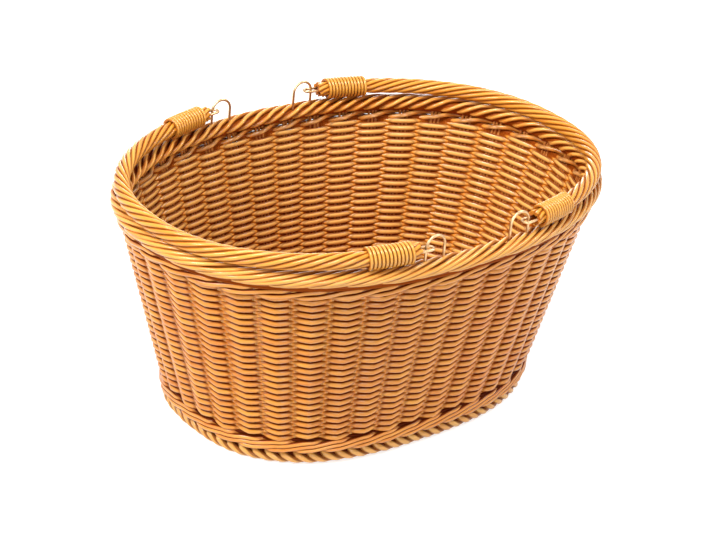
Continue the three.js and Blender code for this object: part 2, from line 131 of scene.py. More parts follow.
# The basket's plan

def columns(*values):
    """A table with a column for each value, where a single value fills its column."""
    return np.column_stack(np.broadcast_arrays(*values))


def superellipse(angle, fullness):
    """How far a rounded square of this fullness reaches at these angles."""
    reach = np.abs(np.cos(angle)) ** fullness + np.abs(np.sin(angle)) ** fullness
    return reach ** (-1 / fullness)


def oval(half, squareness, angle):
    """Points of an oval with flattened sides, at these angle parameters."""
    reach = superellipse(angle, squareness)
    return columns(half[0] * reach * np.cos(angle), half[1] * reach * np.sin(angle))


def rim_oval(angle):
    return oval(RIM_HALF, RIM_SQUARENESS, angle)


def foot_oval(angle):
    return oval(FOOT_HALF, FOOT_SQUARENESS, angle)


FINE_ANGLES = np.linspace(0, ROUND, 5761)
RIM_STEPS = np.linalg.norm(np.diff(rim_oval(FINE_ANGLES), axis=0), axis=1)
RIM_RUN = np.concatenate([[0], np.cumsum(RIM_STEPS)])
RIM_PERIMETER = RIM_RUN[-1]
STAKE_SPACING = RIM_PERIMETER / STAKES


def angle_at(length):
    """The angle parameter at a length along the rim from the right-hand end."""
    return np.interp(np.mod(length, RIM_PERIMETER), RIM_RUN, FINE_ANGLES)


def along_and_out(line_at, angle):
    """Level directions along a line and away from the basket."""
    step = 1e-4
    along = line_at(angle + step) - line_at(angle - step)
    along /= np.linalg.norm(along, axis=1)[:, None]
    return along, columns(along[:, 1], -along[:, 0])


def flat(points, height=0.0):
    """Plan points lifted to a height."""
    return columns(*points.T, height)


# Meshes made of lines, which the trees below turn into cane and wire

def line_mesh(name, lines, closed=False, **values):
    """A mesh of edges: one run of them for each line, with named values for the points."""
    points = np.concatenate(lines)
    edges = []
    first = 0
    for line in lines:
        count = len(line)
        ends = count if closed else count - 1
        edges += [(first + i, first + (i + 1) % count) for i in range(ends)]
        first += count
    mesh = bpy.data.meshes.new(name)
    mesh.from_pydata(points.tolist(), edges, [])
    for label, value in values.items():
        value = np.asarray(value, np.float32)
        if value.shape in ((), (len(points),)):
            layer = mesh.attributes.new(label, "FLOAT", "POINT")
            layer.data.foreach_set("value", np.broadcast_to(value, len(points)).ravel())
        else:
            layer = mesh.attributes.new(label, "FLOAT_VECTOR", "POINT")
            layer.data.foreach_set("vector", np.broadcast_to(value, (len(points), 3)).ravel())
    return mesh


def plan_guide(shares):
    """A closed line round the rim, with a point at these shares of the way from each stake to
    the next. Its points know the wall's foot, its rim and the way out."""
    length = (np.arange(STAKES)[:, None] + np.asarray(shares)).ravel() * STAKE_SPACING
    angle = angle_at(length)
    return line_mesh(
        "plan guide",
        [flat(rim_oval(angle))],
        closed=True,
        foot=flat(foot_oval(angle)),
        rim=flat(rim_oval(angle)),
        foot_out=flat(along_and_out(foot_oval, angle)[1]),
        rim_out=flat(along_and_out(rim_oval, angle)[1]),
        stake=length / STAKE_SPACING,
    )


# Node trees: helpers

def pick(sockets, key):
    if isinstance(key, int):
        return sockets[key]
    return next(socket for socket in sockets if socket.name == key and socket.enabled)


def add_node(tree, kind, given=(), **settings):
    """A node with its settings, and its inputs linked or set by name or number."""
    node = tree.nodes.new(kind)
    for name, value in settings.items():
        setattr(node, name, value)
    for key, value in dict(given).items():
        socket = pick(node.inputs, key)
        if isinstance(value, bpy.types.NodeSocket):
            tree.links.new(value, socket)
        else:
            socket.default_value = value
    return node


def maths(tree, operation, *values, clamp=False):
    node = add_node(
        tree, "ShaderNodeMath", enumerate(values), operation=operation, use_clamp=clamp,
    )
    return node.outputs[0]


def plus(tree, a, b):
    return maths(tree, "ADD", a, b)


def times(tree, a, b):
    return maths(tree, "MULTIPLY", a, b)


def times_plus(tree, a, b, c):
    return maths(tree, "MULTIPLY_ADD", a, b, c)


def scaled(tree, vector, amount):
    given = {"Vector": vector, "Scale": amount}
    return add_node(tree, "ShaderNodeVectorMath", given, operation="SCALE").outputs["Vector"]


def vectors(tree, operation, *values):
    node = add_node(tree, "ShaderNodeVectorMath", enumerate(values), operation=operation)
    return node.outputs["Vector"]


def combined(tree, x=0.0, y=0.0, z=0.0):
    return add_node(tree, "ShaderNodeCombineXYZ", {"X": x, "Y": y, "Z": z}).outputs[0]


def split(tree, vector):
    return add_node(tree, "ShaderNodeSeparateXYZ", {0: vector}).outputs


def noise(tree, vector, scale, detail=2.0, roughness=0.5):
    given = {"Vector": vector, "Scale": scale, "Detail": detail, "Roughness": roughness}
    return add_node(tree, "ShaderNodeTexNoise", given).outputs[0]


def new_tree(name, kind, inputs, outputs):
    """An empty tree with named sockets; gives the tree, what comes in and what goes out."""
    tree = bpy.data.node_groups.new(name, kind)
    for label, (socket_kind, value) in inputs.items():
        socket = tree.interface.new_socket(
            label, in_out="INPUT", socket_type="NodeSocket" + socket_kind,
        )
        if value is not None:
            socket.default_value = value
    for label, socket_kind in outputs.items():
        tree.interface.new_socket(
            label, in_out="OUTPUT", socket_type="NodeSocket" + socket_kind,
        )
    given = tree.nodes.new("NodeGroupInput").outputs
    made = tree.nodes.new("NodeGroupOutput").inputs
    return tree, given, made


def geometry_tree(name, inputs):
    """A tree that shapes geometry, with the inputs that all canes have before its own."""
    inputs = {
        "Geometry": ("Geometry", None),
        "Sides": ("Int", 8),
        "Seed": ("Int", 1),
        **inputs,
    }
    return new_tree(name, "GeometryNodeTree", inputs, {"Geometry": "Geometry"})


def named(tree, name, kind="FLOAT"):
    node = add_node(tree, "GeometryNodeInputNamedAttribute", {"Name": name}, data_type=kind)
    return pick(node.outputs, "Attribute")


def named_vector(tree, name):
    return named(tree, name, "FLOAT_VECTOR")


def here(tree):
    return add_node(tree, "GeometryNodeInputPosition").outputs[0]


def which_curve(tree):
    return add_node(tree, "GeometryNodeCurveOfPoint").outputs["Curve Index"]


def stored(tree, geometry, name, value, kind="FLOAT"):
    given = {"Geometry": geometry, "Name": name, "Value": value}
    node = add_node(tree, "GeometryNodeStoreNamedAttribute", given, data_type=kind)
    return node.outputs[0]


def random_value(tree, low, high, identity, seed):
    given = {"Min": low, "Max": high, "ID": identity, "Seed": seed}
    node = add_node(tree, "FunctionNodeRandomValue", given, data_type="FLOAT")
    return pick(node.outputs, "Value")


def to_curve(tree, geometry):
    return add_node(tree, "GeometryNodeMeshToCurve", {"Mesh": geometry}).outputs[0]


def repeated(tree, curve, amount):
    """Copies of a curve, and the number that each copy has."""
    given = {"Geometry": curve, "Amount": amount}
    node = add_node(tree, "GeometryNodeDuplicateElements", given, domain="SPLINE")
    return node.outputs[0], node.outputs["Duplicate Index"]


def moved(tree, geometry, position):
    given = {"Geometry": geometry, "Position": position}
    return add_node(tree, "GeometryNodeSetPosition", given).outputs[0]


def faced(tree, curve, way):
    """Turns the section of a curve's body so that its x points this way."""
    node = add_node(
        tree, "GeometryNodeSetCurveNormal", {"Curve": curve, "Normal": way}, mode="FREE",
    )
    return node.outputs[0]


def finish_tree(tree, geometry, given, made):
    """Every tree ends by making its copies real and giving them their cane or wire."""
    real = add_node(tree, "GeometryNodeRealizeInstances", {"Geometry": geometry}).outputs[0]
    coated = add_node(
        tree, "GeometryNodeSetMaterial", {"Geometry": real, "Material": given["Material"]},
    )
    tree.links.new(coated.outputs[0], made["Geometry"])
    return tree


# Node trees: the shapes

def cane_tube_tree():
    """Gives each curve a round body that remembers how far along and which way round it is."""
    tree, given, made = geometry_tree("cane tube", {"Radius": ("Float", 0.002)})
    length = add_node(tree, "GeometryNodeSplineParameter").outputs["Length"]
    tone = random_value(tree, 0.0, 1.0, which_curve(tree), given["Seed"])
    curve = stored(tree, given["Geometry"], "along", length)
    curve = stored(tree, curve, "tone", tone)
    ring = add_node(
        tree, "GeometryNodeCurvePrimitiveCircle", {"Resolution": given["Sides"], "Radius": 1.0},
    ).outputs[0]
    ring = stored(tree, ring, "side", here(tree), "FLOAT_VECTOR")
    body = add_node(tree, "GeometryNodeCurveToMesh", {
        "Curve": curve,
        "Profile Curve": ring,
        "Scale": given["Radius"],
        "Fill Caps": True,
    }).outputs[0]
    body = add_node(tree, "GeometryNodeSetShadeSmooth", {"Geometry": body}).outputs[0]
    bend = add_node(tree, "GeometryNodeInputMeshEdgeAngle").outputs["Unsigned Angle"]
    cut_edge = maths(tree, "GREATER_THAN", bend, CUT_EDGE)
    body = add_node(
        tree,
        "GeometryNodeSetShadeSmooth",
        {"Geometry": body, "Selection": cut_edge, "Shade Smooth": False},
        domain="EDGE",
    ).outputs[0]
    tree.links.new(body, made["Geometry"])
    return tree


def wall_place_tree():
    """The point of the basket's wall at a level, pushed outwards and set to a height. With a
    lean of 1 it is pushed square to the sloping wall, and with 0 it is pushed level."""
    tree, given, made = new_tree("wall place", "GeometryNodeTree", {
        "Foot": ("Vector", None),
        "Rim": ("Vector", None),
        "Foot Out": ("Vector", None),
        "Rim Out": ("Vector", None),
        "Level": ("Float", 0.0),
        "Outset": ("Float", 0.0),
        "Height": ("Float", 0.0),
        "Lean": ("Float", 1.0),
    }, {"Position": "Vector", "Out": "Vector"})
    share = maths(tree, "SUBTRACT", given["Level"], FOOT_MIDDLE)
    share = maths(tree, "DIVIDE", share, WALL_RISE)
    blend = {"data_type": "VECTOR", "clamp_factor": False}
    ends = {"Factor": share, "A": given["Foot"], "B": given["Rim"]}
    place = add_node(tree, "ShaderNodeMix", ends, **blend)
    ends = {"Factor": share, "A": given["Foot Out"], "B": given["Rim Out"]}
    out = add_node(tree, "ShaderNodeMix", ends, **blend)
    out = vectors(tree, "NORMALIZE", pick(out.outputs, "Result"))
    tree.links.new(out, made["Out"])
    flare = vectors(tree, "SUBTRACT", given["Rim"], given["Foot"])
    flare = add_node(tree, "ShaderNodeVectorMath", {0: flare, 1: out}, operation="DOT_PRODUCT")
    slope = maths(tree, "DIVIDE", flare.outputs["Value"], WALL_RISE)
    slope = times(tree, slope, given["Lean"])
    drop = times(tree, slope, given["Outset"])
    out = scaled(tree, out, given["Outset"])
    place = vectors(tree, "ADD", pick(place.outputs, "Result"), out)
    height = maths(tree, "SUBTRACT", given["Height"], drop)
    place = vectors(tree, "ADD", place, combined(tree, z=height))
    tree.links.new(place, made["Position"])
    return tree


CANE_TUBE = cane_tube_tree()
WALL_PLACE = wall_place_tree()


def tube(tree, curve, radius, given):
    sizes = {"Geometry": curve, "Radius": radius, "Sides": given["Sides"], "Seed": given["Seed"]}
    return add_node(tree, "GeometryNodeGroup", sizes, node_tree=CANE_TUBE).outputs[0]


def on_the_wall(tree, read, level, outset, height, lean=1.0):
    """The place on the wall and the way out there, from the guide's values by their names."""
    return add_node(tree, "GeometryNodeGroup", {
        "Foot": read("foot"),
        "Rim": read("rim"),
        "Foot Out": read("foot_out"),
        "Rim Out": read("rim_out"),
        "Level": level,
        "Outset": outset,
        "Height": height,
        "Lean": lean,
    }, node_tree=WALL_PLACE).outputs


def woven_rows_tree():
    """Rows of cane that pass in front of one stake and behind the next, turn about by row."""
    tree, given, made = geometry_tree("woven rows", {
        "Rows": ("Int", 20),
        "First Row": ("Int", 0),
        "Bottom": ("Float", SIDE_BOTTOM),
        "Row Pitch": ("Float", 0.0032),
        "Swing Out": ("Float", SIDE_SWING_OUT),
        "Swing In": ("Float", SIDE_SWING_IN),
        "Kink": ("Float", 0.96),
        "Fold": ("Float", 0.4),
        "Cane Radius": ("Float", SIDE_CANE),
        "Swell": ("Float", 0.0007),
        "Unevenness": ("Float", 0.0003),
        "Material": ("Material", None),
    })
    rings, number = repeated(tree, to_curve(tree, given["Geometry"]), given["Rows"])
    row = plus(tree, number, given["First Row"])
    stake = named(tree, "stake")
    turn = times(tree, plus(tree, stake, row), math.pi)
    swing = maths(tree, "COSINE", turn)
    front = maths(tree, "TANH", times(tree, swing, 3.0))
    bend = maths(tree, "ARCSINE", times(tree, swing, given["Kink"]))
    bend = maths(tree, "DIVIDE", bend, maths(tree, "ARCSINE", given["Kink"]))
    step = times(tree, maths(tree, "SUBTRACT", front, bend), given["Fold"])
    wave = plus(tree, bend, step)
    spot = combined(tree, times(tree, stake, 0.9), times(tree, row, 5.3))
    drift = maths(tree, "SUBTRACT", noise(tree, spot, 1.0), 0.5)
    drift = times(tree, drift, given["Unevenness"])
    height = plus(tree, row, 0.5)
    height = times_plus(tree, height, given["Row Pitch"], given["Bottom"])
    height = plus(tree, height, drift)
    ahead = times(tree, maths(tree, "MAXIMUM", wave, 0.0), given["Swing Out"])
    behind = times(tree, maths(tree, "MINIMUM", wave, 0.0), given["Swing In"])
    outset = plus(tree, plus(tree, ahead, behind), drift)
    wall = on_the_wall(tree, lambda name: named_vector(tree, name), height, outset, height)
    rows = moved(tree, rings, wall["Position"])
    rows = add_node(tree, "GeometryNodeSetCurveNormal", {"Curve": rows}, mode="Z_UP").outputs[0]
    swell = times(tree, times(tree, front, front), given["Swell"])
    rows = stored(tree, rows, "swell", swell)
    rows = stored(tree, rows, "front", front)
    body = tube(tree, rows, given["Cane Radius"], given)
    lift = split(tree, named_vector(tree, "side"))[1]
    lift = times(tree, times(tree, lift, named(tree, "swell")), -1.0)
    lift = combined(tree, z=lift)
    body = add_node(tree, "GeometryNodeSetPosition", {"Geometry": body, "Offset": lift}).outputs[0]
    return finish_tree(tree, body, given, made)


def round_the_basket_tree():
    """Repeats a stroke of cane round the basket. The stroke is drawn with x along the wall,
    y outwards and z up, and its points know the level of the wall that they belong to."""
    tree, given, made = geometry_tree("round the basket", {
        "Stroke": ("Object", None),
        "Count": ("Int", STAKES),
        "Lean": ("Float", 1.0),
        "Unevenness": ("Float", 0.0003),
        "Material": ("Material", None),
    })
    guide = to_curve(tree, given["Geometry"])
    perimeter = add_node(tree, "GeometryNodeCurveLength", {"Curve": guide}).outputs[0]
    stroke = add_node(tree, "GeometryNodeObjectInfo", {"Object": given["Stroke"]})
    curve = to_curve(tree, stroke.outputs["Geometry"])
    copies, number = repeated(tree, curve, given["Count"])
    x, y, z = split(tree, here(tree))
    which = which_curve(tree)
    uneven = times(tree, given["Unevenness"], -1.0)
    draws = [
        random_value(tree, uneven, given["Unevenness"], which, plus(tree, given["Seed"], i))
        for i in range(3)
    ]
    steps = maths(tree, "DIVIDE", perimeter, given["Count"])
    length = times_plus(tree, number, steps, x)
    length = plus(tree, length, times(tree, draws[0], 3.0))
    factor = maths(tree, "FRACT", maths(tree, "DIVIDE", length, perimeter))

    def sampled(name):
        node = add_node(tree, "GeometryNodeSampleCurve", {
            "Curves": guide,
            "Value": named_vector(tree, name),
            "Factor": factor,
        }, data_type="FLOAT_VECTOR", mode="FACTOR")
        return pick(node.outputs, "Value")

    outset = plus(tree, y, draws[1])
    height = plus(tree, z, draws[2])
    wall = on_the_wall(tree, sampled, named(tree, "level"), outset, height, given["Lean"])
    outward, upward = split(tree, named_vector(tree, "facing"))[1:3]
    way = vectors(tree, "ADD", scaled(tree, wall["Out"], outward), combined(tree, z=upward))
    strokes = moved(tree, faced(tree, copies, way), wall["Position"])
    body = tube(tree, strokes, named(tree, "radius"), given)
    return finish_tree(tree, body, given, made)


def single_canes_tree():
    """A round body on each line, as thick as its points say."""
    tree, given, made = geometry_tree("single canes", {"Material": ("Material", None)})
    curve = faced(tree, to_curve(tree, given["Geometry"]), named_vector(tree, "facing"))
    body = tube(tree, curve, named(tree, "radius"), given)
    return finish_tree(tree, body, given, made)


def laid_rope_tree():
    """Strands laid round a line, which knows its way out, its way up and its thickness."""
    tree, given, made = geometry_tree("laid rope", {
        "Strands": ("Int", ROPE_STRANDS),
        "Lay": ("Float", ROPE_LAY),
        "Strand Radius": ("Float", ROPE_STRAND),
        "End Step": ("Float", 0.002),
        "Material": ("Material", None),
    })
    copies, number = repeated(tree, to_curve(tree, given["Geometry"]), given["Strands"])
    share = maths(tree, "DIVIDE", named(tree, "run"), given["Lay"])
    share = plus(tree, share, maths(tree, "DIVIDE", number, given["Strands"]))
    turn = times(tree, share, ROUND)
    out = scaled(tree, named_vector(tree, "out"), maths(tree, "COSINE", turn))
    up = scaled(tree, named_vector(tree, "up"), maths(tree, "SINE", turn))
    away = vectors(tree, "ADD", out, up)
    offset = scaled(tree, away, named(tree, "ring"))
    cut = random_value(tree, 0.0, given["End Step"], number, given["Seed"])
    cut = times(tree, cut, named(tree, "end"))
    tangent = add_node(tree, "GeometryNodeInputTangent").outputs[0]
    offset = vectors(tree, "SUBTRACT", offset, scaled(tree, tangent, cut))
    strands = moved(tree, copies, vectors(tree, "ADD", here(tree), offset))
    strands = stored(tree, faced(tree, strands, away), "front", 1.0)
    body = tube(tree, strands, given["Strand Radius"], given)
    return finish_tree(tree, body, given, made)


WOVEN_ROWS = woven_rows_tree()
ROUND_THE_BASKET = round_the_basket_tree()
SINGLE_CANES = single_canes_tree()
LAID_ROPE = laid_rope_tree()
GUIDE = plan_guide(np.arange(20) / 20)
WEAVER_SHARES = [0, 0.16, 0.31, 0.41, 0.46, 0.5, 0.54, 0.59, 0.69, 0.84]


def placed(name, data):
    """A new object in the scene that shows a mesh, a light or a camera."""
    thing = bpy.data.objects.new(name, data)
    bpy.context.scene.collection.objects.link(thing)
    return thing


def grown(name, body, slot, tree, source, replaced, coat=None, **sizes):
    """Runs a tree on a line mesh and keeps what it makes as one plain piece on a body."""
    holder = placed("source of " + name, source)
    modifier = holder.modifiers.new("shape", "NODES")
    modifier.node_group = tree
    sizes = {"Material": coat or SLOT_MATERIALS[slot], **sizes}
    wanted = {key.replace("_", " "): value for key, value in sizes.items()}
    for item in tree.interface.items_tree:
        if item.in_out == "INPUT" and item.name in wanted:
            modifier[item.identifier] = wanted[item.name]
    graph = bpy.context.evaluated_depsgraph_get()
    mesh = bpy.data.meshes.new_from_object(
        holder.evaluated_get(graph), preserve_all_data_layers=True, depsgraph=graph,
    )
    bpy.data.objects.remove(holder)
    piece = placed(name, mesh)
    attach(piece, body)
    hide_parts(*replaced)


def strokes_round(name, slot, lines, count, replaced, closed=False, coat=None, **sizes):
    """Repeats lines drawn as (along, out, up, level, radius, way out, way up, front) round
    the basket. Front is 1 where the canes beside it cover its flanks, and -1 where they cover
    them seen from inside the basket."""
    table = np.concatenate(lines)
    stroke = placed("stroke", line_mesh(
        "stroke",
        [line[:, :3] for line in lines],
        closed=closed,
        level=table[:, 3],
        radius=table[:, 4],
        facing=columns(0.0, *table[:, 5:7].T),
        front=table[:, 7],
    ))
    sizes = {"Stroke": stroke, "Count": count, "Sides": 8, **sizes}
    grown(name, "basket", slot, ROUND_THE_BASKET, GUIDE, replaced, coat, **sizes)
    bpy.data.objects.remove(stroke)


# Materials

def colour(red, green, blue):
    """A colour from its 0 to 255 screen values."""
    def linear(value):
        value /= 255
        return value / 12.92 if value <= 0.04045 else ((value + 0.055) / 1.055) ** 2.4
    return (linear(red), linear(green), linear(blue), 1.0)


def mix_colour(tree, factor, a, b):
    given = {"Factor": factor, "A": a, "B": b}
    return pick(add_node(tree, "ShaderNodeMix", given, data_type="RGBA").outputs, "Result")


def spread(tree, value, low, high, to_low=0.0, to_high=1.0):
    """Stretches a value from one range to another, held at its ends."""
    node = add_node(tree, "ShaderNodeMapRange", {
        "Value": value,
        "From Min": low,
        "From Max": high,
        "To Min": to_low,
        "To Max": to_high,
    })
    return node.outputs[0]


def attribute(tree, name, output="Fac"):
    return add_node(tree, "ShaderNodeAttribute", attribute_name=name).outputs[output]


def object_place(tree):
    return add_node(tree, "ShaderNodeTexCoord").outputs["Object"]


def cane_skin_tree():
    """Stained and varnished cane: each length has its own tone, with fibres and stains along
    it, painted shade on the flanks its neighbours cover, and painted light where it faces inside."""
    tree, given, made = new_tree("cane skin", "ShaderNodeTree", {
        "Light": ("Color", colour(236, 172, 92)),
        "Deep": ("Color", colour(186, 104, 40)),
        "Stain And Shade": ("Color", colour(122, 54, 16)),
        "Inside": ("Color", colour(255, 204, 128)),
        "Tone Spread": ("Float", 0.5),
        "Fibres": ("Float", 0.4),
        "Stains": ("Float", 0.3),
        "Hollow Shade": ("Float", 0.8),
        "Behind": ("Float", 1.0),
    }, {"Colour": "Color", "Roughness": "Float", "Height": "Float", "Varnish": "Float"})
    along = attribute(tree, "along")
    tone = attribute(tree, "tone")
    front = attribute(tree, "front")
    side = split(tree, attribute(tree, "side", "Vector"))
    shift = times(tree, tone, 7.3)
    fibre_place = combined(tree, side[0], side[1], times_plus(tree, along, 26.0, shift))
    fibres = noise(tree, fibre_place, scale=3.2, detail=4.0, roughness=0.62)
    mottle_place = combined(
        tree,
        times(tree, side[0], 0.25),
        times(tree, side[1], 0.25),
        times_plus(tree, along, 38.0, shift),
    )
    mottle = noise(tree, mottle_place, scale=1.0, detail=3.0)
    patches = noise(tree, object_place(tree), scale=9.0)
    fibre_mask = spread(tree, fibres, 0.36, 0.66)
    mottle_mask = spread(tree, mottle, 0.3, 0.7)
    patch_mask = spread(tree, patches, 0.35, 0.65)
    depth = times(tree, tone, given["Tone Spread"])
    depth = times_plus(tree, mottle_mask, 0.26, depth)
    depth = times_plus(tree, patch_mask, 0.16, depth)
    depth = times_plus(tree, times(tree, fibre_mask, given["Fibres"]), 0.5, depth)
    base = mix_colour(tree, maths(tree, "MINIMUM", depth, 1.0), given["Light"], given["Deep"])
    stain = spread(tree, plus(tree, mottle, times(tree, fibres, 0.6)), 0.88, 1.08)
    stain = times(tree, stain, given["Stains"])
    base = mix_colour(tree, stain, base, given["Stain And Shade"])
    # Painted light: the parts of a cane that face the inside of the basket are mixed towards a
    # paler colour
    inside = spread(tree, front, 0.0, -0.6, 0.0, 0.7)
    base = mix_colour(tree, inside, base, given["Inside"])
    # Painted shade: flanks that neighbouring canes cover are mixed towards the stain-and-shade
    # colour, less so where a cane is seen from behind through a gap
    shown = times(tree, side[0], front)
    painted_shade = spread(tree, shown, 0.80, 0.52)
    behind = spread(tree, shown, -0.3, -0.9, 1.0, given["Behind"])
    painted_shade = times(tree, painted_shade, behind)
    painted_shade = times(tree, painted_shade, maths(tree, "ABSOLUTE", front))
    painted_shade = times(tree, painted_shade, given["Hollow Shade"])
    base = mix_colour(tree, painted_shade, base, given["Stain And Shade"])
    rough = times_plus(tree, fibre_mask, 0.12, 0.30)
    rough = times_plus(tree, stain, 0.2, rough)
    height = times_plus(tree, mottle_mask, 0.35, fibres)
    varnish = times_plus(tree, painted_shade, -0.75, 0.75)
    varnish = times_plus(tree, inside, 0.35, varnish)
    for value, label in (
        (base, "Colour"), (rough, "Roughness"), (height, "Height"), (varnish, "Varnish"),
    ):
        tree.links.new(value, made[label])
    return tree


CANE_SKIN = cane_skin_tree()


def new_material(name):
    material = bpy.data.materials.new(name)
    material.use_nodes = True
    tree = material.node_tree
    tree.nodes.clear()
    output = tree.nodes.new("ShaderNodeOutputMaterial")
    return material, tree, output


def cane_material(
    name, light, deep, stain, inside=None, tones=0.5, stains=0.3, hollow_shade=0.8, behind=1.0,
    varnished=True,
):
    """A finish of cane from its screen colours and how strongly its tones and painted shade show.
    The stain colour serves for real stains and for the painted shade, and the inside colour is
    painted light.
    """
    material, tree, output = new_material(name)
    skin = add_node(tree, "ShaderNodeGroup", {
        "Light": colour(*light),
        "Deep": colour(*deep),
        "Stain And Shade": colour(*stain),
        "Inside": colour(*(inside or deep)),
        "Tone Spread": tones,
        "Fibres": 0.4,
        "Stains": stains,
        "Hollow Shade": hollow_shade,
        "Behind": behind,
    }, node_tree=CANE_SKIN)
    bump = add_node(tree, "ShaderNodeBump", {
        "Height": skin.outputs["Height"],
        "Strength": 0.35,
        "Distance": 0.0003,
    })
    shader = add_node(tree, "ShaderNodeBsdfPrincipled", {
        "Base Color": skin.outputs["Colour"],
        "Roughness": skin.outputs["Roughness"],
        "Normal": bump.outputs[0],
        "IOR": 1.4,
        "Specular IOR Level": 0.15 if varnished else 0.05,
        "Coat Weight": skin.outputs["Varnish"] if varnished else 0.0,
        "Coat Roughness": 0.2,
    })
    tree.links.new(shader.outputs[0], output.inputs["Surface"])
    return material


def wire_material(name):
    """Drawn steel wire with a thin warm tarnish and fine draw lines; its warm beige tint is a
    painted reflection of the orange cane around it.
    """
    material, tree, output = new_material(name)
    tarnish = noise(tree, object_place(tree), scale=160.0, detail=4.0, roughness=0.6)
    tarnish = spread(tree, tarnish, 0.42, 0.7)
    side = split(tree, attribute(tree, "side", "Vector"))
    draw_place = combined(tree, side[0], side[1], times(tree, attribute(tree, "along"), 30.0))
    lines = noise(tree, draw_place, scale=6.0, detail=3.0)
    line_mask = spread(tree, lines, 0.35, 0.65)
    # Painted reflection: the steel is tinted warm beige for the orange cane it reflects, varied by
    # the draw lines
    steel_and_reflection = mix_colour(tree, line_mask, colour(238, 208, 164), colour(206, 168, 120))
    base = mix_colour(tree, times(tree, tarnish, 0.55), steel_and_reflection, colour(150, 106, 62))
    rough = times_plus(tree, tarnish, 0.22, 0.24)
    rough = times_plus(tree, lines, 0.1, rough)
    bump = add_node(tree, "ShaderNodeBump", {"Height": lines, "Strength": 0.15, "Distance": 0.0001})
    shader = add_node(tree, "ShaderNodeBsdfPrincipled", {
        "Base Color": base,
        "Roughness": rough,
        "Metallic": 1.0,
        "Normal": bump.outputs[0],
    })
    tree.links.new(shader.outputs[0], output.inputs["Surface"])
    return material


SLOT_MATERIALS = {
    "side_cane": cane_material(
        "side weave cane", (245, 172, 60), (211, 110, 22), (116, 32, 0),
        inside=(255, 204, 116), tones=0.35, hollow_shade=0.9, behind=0.2,
    ),
    "stake_cane": cane_material(
        "stake cane", (228, 152, 76), (192, 104, 40), (98, 28, 0), stains=0.5,
    ),
    "wale_cane": cane_material(
        "waling cane", (247, 178, 80), (220, 126, 38), (110, 32, 0),
        inside=(252, 196, 118), hollow_shade=0.95, behind=0.4,
    ),
    "border_cane": cane_material(
        "border cane", (240, 182, 90), (224, 148, 54), (150, 60, 4), hollow_shade=0.68,
    ),
    "base_cane": cane_material(
        "base cane", (222, 142, 58), (178, 92, 28), (96, 34, 4),
    ),
    "rope_cane": cane_material(
        "rope cane", (236, 176, 74), (220, 140, 38), (144, 54, 2), hollow_shade=0.68,
    ),
    "binding_cane": cane_material(
        "binding cane", (232, 172, 76), (216, 138, 40), (150, 62, 6), tones=0.2, hollow_shade=0.62,
    ),
    "wire": wire_material("drawn wire"),
}
# The foot border's coat: a lighter, more orange copy of the border cane; its extra lightness is
# painted light for the shade under the lower waling
FOOT_LIT_COAT = cane_material(
    "foot border cane in painted light", (252, 196, 104), (240, 160, 68), (120, 36, 0), hollow_shade=0.75,
)
# Dark coat for canes seen only in the gaps between others; its darkness is painted shade
PACKING_SHADE_COAT = cane_material(
    "packing cane in painted shade", (172, 88, 26), (142, 62, 10), (80, 22, 0), varnished=False,
)
# Darker coat for the hearts of the rope and foot border and for the low packing rings; its darkness
# is painted shade between the canes
HEART_SHADE_COAT = cane_material(
    "shaded cane", (104, 38, 6), (78, 22, 0), (50, 12, 0), hollow_shade=0.0, varnished=False,
)

# Rings of cane that shut the light out, in dark coats of painted shade: name, height, radius, how
# far out of the wall, coat
PACKING_RINGS = (
    ("upper_waling_packing", 0.1792, 0.0022, 0.0026, PACKING_SHADE_COAT),
    ("rim_edge_packing", 0.1862, 0.0024, 0.0030, PACKING_SHADE_COAT),
    ("lower_waling_packing", 0.0250, 0.0018, 0.0012, HEART_SHADE_COAT),
    ("foot_edge_packing", 0.0138, 0.0026, 0.0010, HEART_SHADE_COAT),
    ("base_edge_packing", 0.0165, 0.0030, -0.0045, HEART_SHADE_COAT),
)


# Basket

def section(along, angle, half_out, half_up, middle):
    """Points round a border's rounded section, at lengths along the border."""
    reach = superellipse(angle, BORDER_FULLNESS)
    out = half_out * reach * np.cos(angle)
    up = middle + half_up * reach * np.sin(angle)
    return columns(along, out, up)


def with_values(points, level, radius, front=0.0, centre=None):
    """Stroke points with the wall level, the radius, the way they face and how far they do."""
    away = (1.0, 0.0)
    if centre is not None:
        away = points[:, 1:3] - np.array([0.0, centre])
        away = (away / np.linalg.norm(away, axis=1)[:, None]).T
    return columns(*points.T, level, radius, *away, front)


def smooth_line(points, count):
    """A smooth line through a few points, with evenly spread steps."""
    points = np.asarray(points, float)
    padded = np.vstack([2 * points[0] - points[1], points, 2 * points[-1] - points[-2]])
    line = []
    for i in range(len(points) - 1):
        a, b, c, d = padded[i:i + 4]
        t = np.linspace(0, 1, 24, endpoint=False)[:, None]
        line.append(0.5 * (
            2 * b + (c - a) * t + (2 * a - 5 * b + 4 * c - d) * t ** 2
            + (3 * b - a - 3 * c + d) * t ** 3
        ))
    line = np.vstack([*line, points[-1:]])
    steps = np.linalg.norm(np.diff(line, axis=0), axis=1)
    run = np.concatenate([[0], np.cumsum(steps)])
    even = np.linspace(0, run[-1], count)
    return columns(*[np.interp(even, run, column) for column in line.T])


